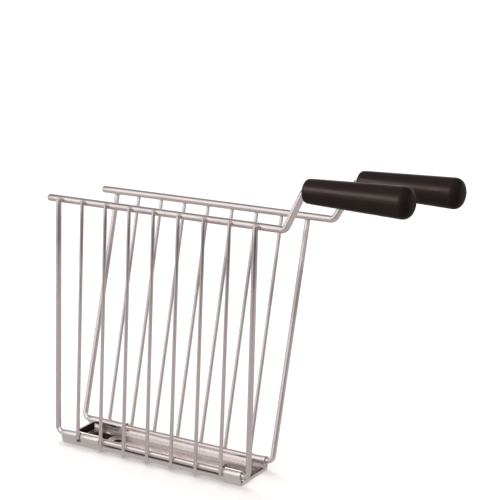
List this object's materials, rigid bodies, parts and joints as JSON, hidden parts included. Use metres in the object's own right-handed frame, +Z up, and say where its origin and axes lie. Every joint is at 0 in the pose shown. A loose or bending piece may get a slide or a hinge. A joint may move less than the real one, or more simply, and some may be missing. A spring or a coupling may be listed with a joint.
{
  "type": "toasting cage",
  "caption": "Wire toast rack for a toaster slot: two hinged wire panels with black handles open in a V on a folded steel tray.",
  "frame": {"origin": "middle of the tray's underside, on the table", "axes": "+X along the tray towards the handles, +Z up, the front panel on the -Y side"},
  "size_m": [0.2267, 0.078, 0.1669],
  "materials": {
    "steel_wire": "polished stainless wire, warm grey",
    "steel_sheet": "bright rolled stainless sheet",
    "black_grip": "satin black heat-proof plastic"
  },
  "bodies": {
    "tray": {"tray": "steel_sheet"},
    "front_panel": {"front_frame": "steel_wire", "front_rail": "steel_wire", "front_wire_1": "steel_wire", "front_wire_2": "steel_wire", "front_wire_3": "steel_wire", "front_wire_4": "steel_wire", "front_wire_5": "steel_wire", "front_wire_6": "steel_wire", "front_wire_7": "steel_wire", "front_handle": "black_grip"},
    "rear_panel": {"rear_frame": "steel_wire", "rear_rail": "steel_wire", "rear_wire_1": "steel_wire", "rear_wire_2": "steel_wire", "rear_wire_3": "steel_wire", "rear_wire_4": "steel_wire", "rear_wire_5": "steel_wire", "rear_wire_6": "steel_wire", "rear_wire_7": "steel_wire", "rear_handle": "black_grip"}
  },
  "joints": [
    {"name": "front_hinge", "type": "hinge", "parent": "tray", "child": "front_panel", "pos_m": [0, -0.012, 0.0056], "axis": [1, 0, 0], "range_deg": [0, 21.5]},
    {"name": "rear_hinge", "type": "hinge", "parent": "tray", "child": "rear_panel", "pos_m": [0, 0.012, 0.0056], "axis": [1, 0, 0], "range_deg": [0, 12.5]}
  ]
}
